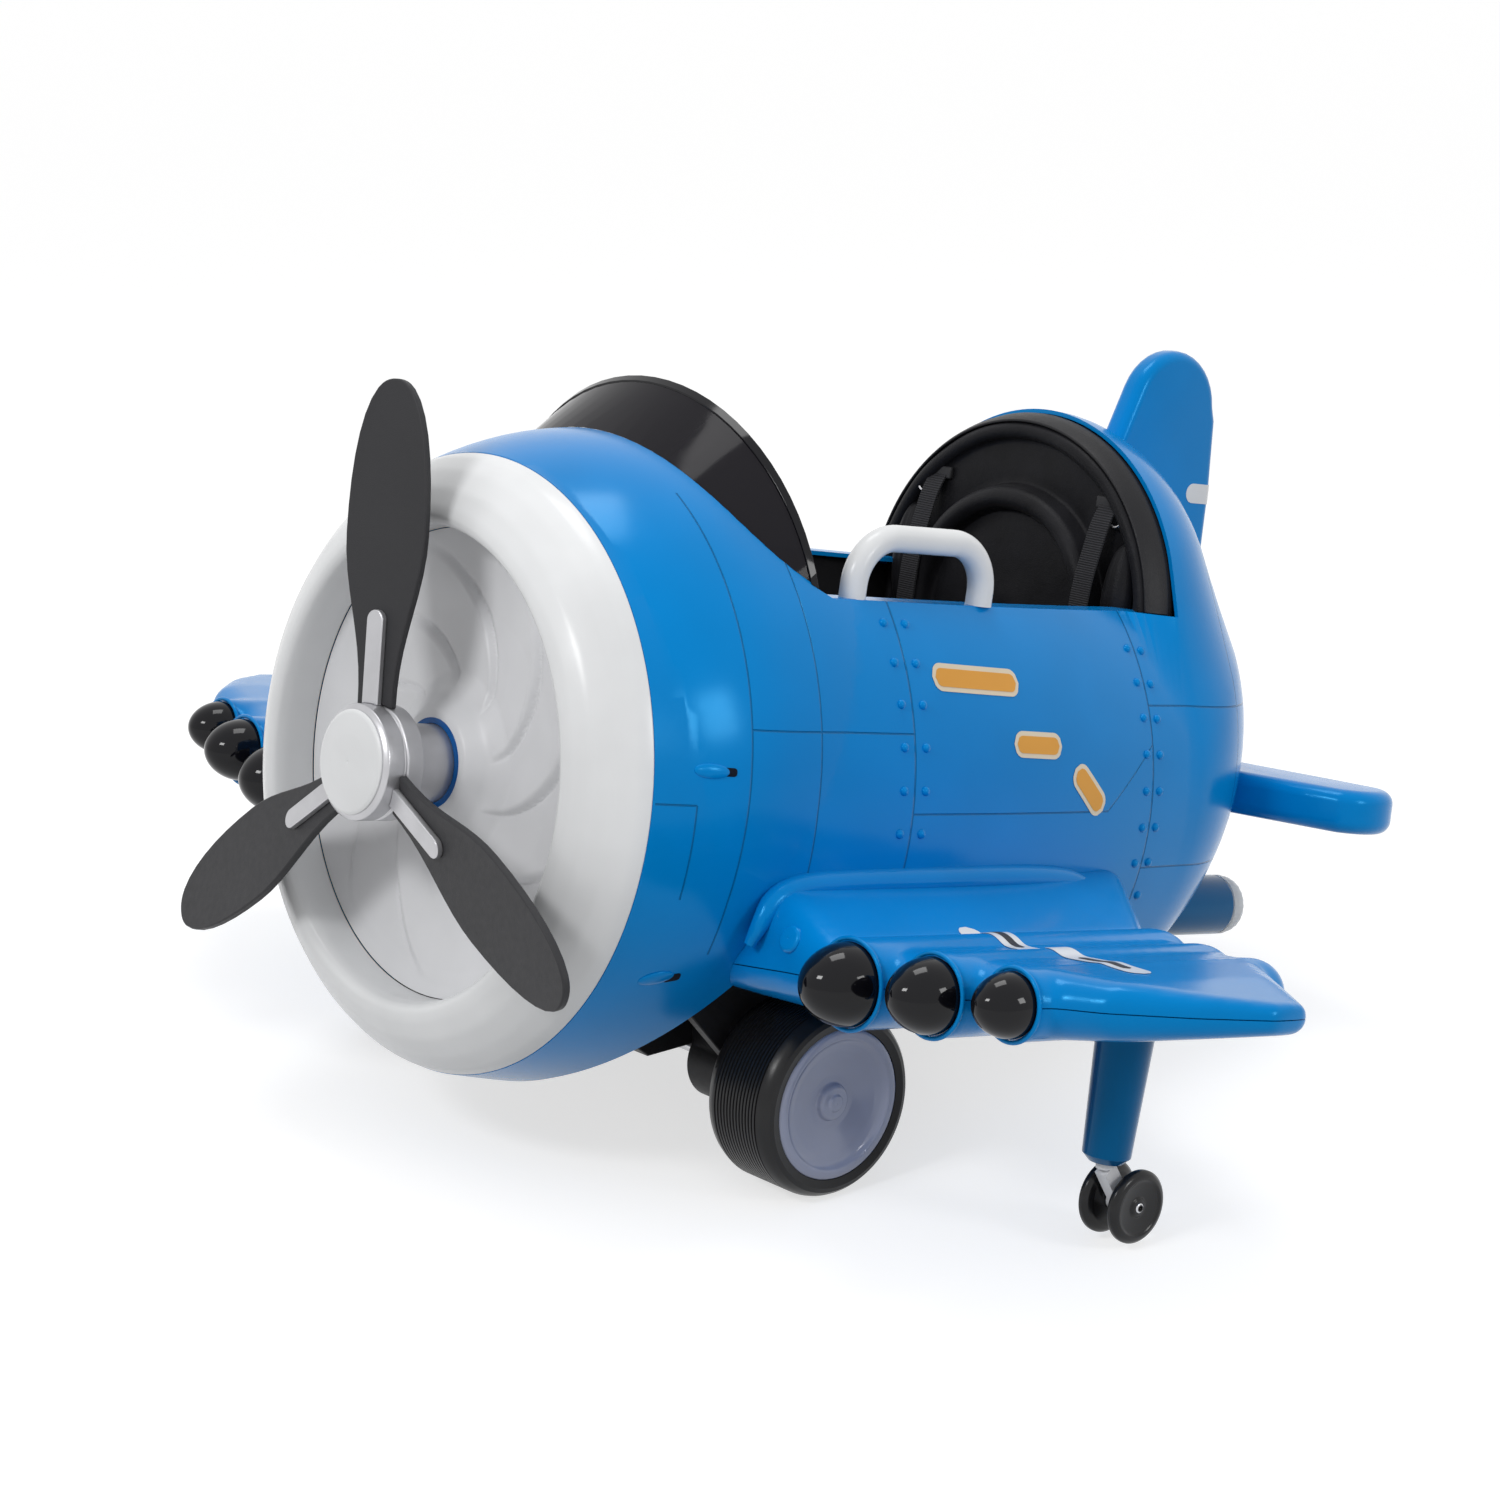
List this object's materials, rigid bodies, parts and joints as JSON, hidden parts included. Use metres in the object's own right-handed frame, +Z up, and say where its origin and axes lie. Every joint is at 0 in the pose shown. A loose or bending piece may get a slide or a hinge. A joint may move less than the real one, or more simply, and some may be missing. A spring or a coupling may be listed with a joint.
{
  "type": "electric ride-on toy airplane",
  "caption": "Blue electric ride-on toy airplane with a spinning propeller, twin sticks, driven wheels and swivel casters.",
  "frame": {"origin": "on the floor, midway between the sides and midway between nose and tail", "axes": "+X to the toy's left (port) side, -Y towards the nose, +Z up"},
  "size_m": [1.452, 1.0883, 0.6874],
  "materials": {
    "blue_plastic": "gloss blue moulded plastic",
    "white_plastic": "gloss white moulded plastic",
    "grey_plastic": "pale grey satin plastic",
    "black_plastic": "matte black plastic",
    "gloss_black": "gloss black plastic",
    "charcoal_plastic": "matte charcoal plastic",
    "smoked_sheet": "smoked clear plastic sheet",
    "silver_paint": "silver satin",
    "steel": "bright steel",
    "seat_leather": "black soft seat cover",
    "webbing": "black woven webbing",
    "tread": "black tread",
    "cover_grey": "grey violet plastic",
    "lamp_clear": "clear lamp plastic",
    "red_button": "red push button",
    "yellow_button": "amber push button",
    "board_green": "dark green circuit housing"
  },
  "bodies": {
    "airframe": {"nose_cowl": "white_plastic", "engine_plate": "grey_plastic", "prop_motor": "steel", "fuselage_shell": "blue_plastic", "tail_shell": "blue_plastic", "belly_pan": "black_plastic", "cockpit_liner": "black_plastic", "dashboard": "black_plastic", "windshield": "smoked_sheet", "windshield_hoop": "black_plastic", "grab_handles": "white_plastic", "seat_box": "black_plastic", "seat_cushion": "seat_leather", "seat_back_pad": "seat_leather", "seat_surround": "black_plastic", "seat_side_pads": "seat_leather", "harness_straps": "webbing", "harness_buckle": "black_plastic", "vertical_fin": "blue_plastic", "fin_flash": "white_plastic", "stabilisers": "blue_plastic", "exhaust_tubes": "blue_plastic", "exhaust_lamps": "lamp_clear", "wing_upper_port": "blue_plastic", "wing_lower_port": "blue_plastic", "wing_upper_starboard": "blue_plastic", "wing_lower_starboard": "blue_plastic", "nacelle_cones": "gloss_black", "wing_legs": "blue_plastic", "drive_axle": "steel", "axle_nuts": "steel", "axle_brackets": "black_plastic", "gearboxes": "black_plastic", "chassis": "black_plastic", "battery": "black_plastic", "control_box": "board_green", "speaker": "charcoal_plastic", "stick_bases": "black_plastic", "charge_socket": "charcoal_plastic"},
    "propeller": {"prop_shaft": "steel", "prop_hub": "silver_paint", "hub_cap": "white_plastic", "prop_blades": "charcoal_plastic", "blade_bars": "silver_paint"},
    "wheel_port": {"tyre_port": "tread", "hub_cover_port": "cover_grey"},
    "wheel_starboard": {"tyre_starboard": "tread", "hub_cover_starboard": "cover_grey"},
    "caster_port": {"fork_port": "grey_plastic"},
    "caster_starboard": {"fork_starboard": "grey_plastic"},
    "caster_tail": {"fork_tail": "grey_plastic"},
    "rollers_port": {"caster_wheels_port": "black_plastic"},
    "rollers_starboard": {"caster_wheels_starboard": "black_plastic"},
    "rollers_tail": {"caster_wheels_tail": "black_plastic"},
    "stick_port_body": {"stick_port": "charcoal_plastic"},
    "stick_starboard_body": {"stick_starboard": "charcoal_plastic"},
    "start_body": {"start_button": "red_button"},
    "horn_body": {"horn_button": "yellow_button"},
    "buckle_body": {"buckle_button": "red_button"}
  },
  "joints": [
    {"name": "propeller_spin", "type": "hinge", "parent": "airframe", "child": "propeller", "pos_m": [0, -0.4125, 0.352], "axis": [0, -0.9833, 0.1822], "continuous": true},
    {"name": "wheel_port_spin", "type": "hinge", "parent": "airframe", "child": "wheel_port", "pos_m": [0.271, -0.2415, 0.084], "axis": [1, 0, 0], "continuous": true},
    {"name": "wheel_starboard_spin", "type": "hinge", "parent": "airframe", "child": "wheel_starboard", "pos_m": [-0.271, -0.2415, 0.084], "axis": [1, 0, 0], "continuous": true},
    {"name": "caster_port_swivel", "type": "hinge", "parent": "airframe", "child": "caster_port", "pos_m": [0.535, -0.14835, 0.095], "axis": [0, 0, 1], "continuous": true},
    {"name": "caster_starboard_swivel", "type": "hinge", "parent": "airframe", "child": "caster_starboard", "pos_m": [-0.535, -0.14835, 0.095], "axis": [0, 0, 1], "continuous": true},
    {"name": "caster_tail_swivel", "type": "hinge", "parent": "airframe", "child": "caster_tail", "pos_m": [0, 0.1875, 0.095], "axis": [0, 0, 1], "continuous": true},
    {"name": "rollers_port_spin", "type": "hinge", "parent": "caster_port", "child": "rollers_port", "pos_m": [0.535, -0.12835, 0.036], "axis": [1, 0, 0], "continuous": true},
    {"name": "rollers_starboard_spin", "type": "hinge", "parent": "caster_starboard", "child": "rollers_starboard", "pos_m": [-0.535, -0.12835, 0.036], "axis": [1, 0, 0], "continuous": true},
    {"name": "rollers_tail_spin", "type": "hinge", "parent": "caster_tail", "child": "rollers_tail", "pos_m": [0, 0.2075, 0.0315], "axis": [1, 0, 0], "continuous": true},
    {"name": "stick_port_tilt", "type": "hinge", "parent": "airframe", "child": "stick_port_body", "pos_m": [0.128, -0.11643, 0.30323], "axis": [1, 0, 0], "range_deg": [-20, 20], "stiffness_Nm_per_rad": 1.2},
    {"name": "stick_starboard_tilt", "type": "hinge", "parent": "airframe", "child": "stick_starboard_body", "pos_m": [-0.128, -0.11643, 0.30323], "axis": [1, 0, 0], "range_deg": [-20, 20], "stiffness_Nm_per_rad": 1.2},
    {"name": "start_press", "type": "slide", "parent": "airframe", "child": "start_body", "axis": [0, -0.9936, 0.1132], "range_m": [0, 0.004], "stiffness_N_per_m": 400, "springref_m": -0.002},
    {"name": "horn_press", "type": "slide", "parent": "airframe", "child": "horn_body", "axis": [0, -0.9936, 0.1132], "range_m": [0, 0.004], "stiffness_N_per_m": 400, "springref_m": -0.002},
    {"name": "buckle_press", "type": "slide", "parent": "airframe", "child": "buckle_body", "axis": [0, -0.1822, -0.9833], "range_m": [0, 0.003], "stiffness_N_per_m": 400, "springref_m": -0.002}
  ]
}
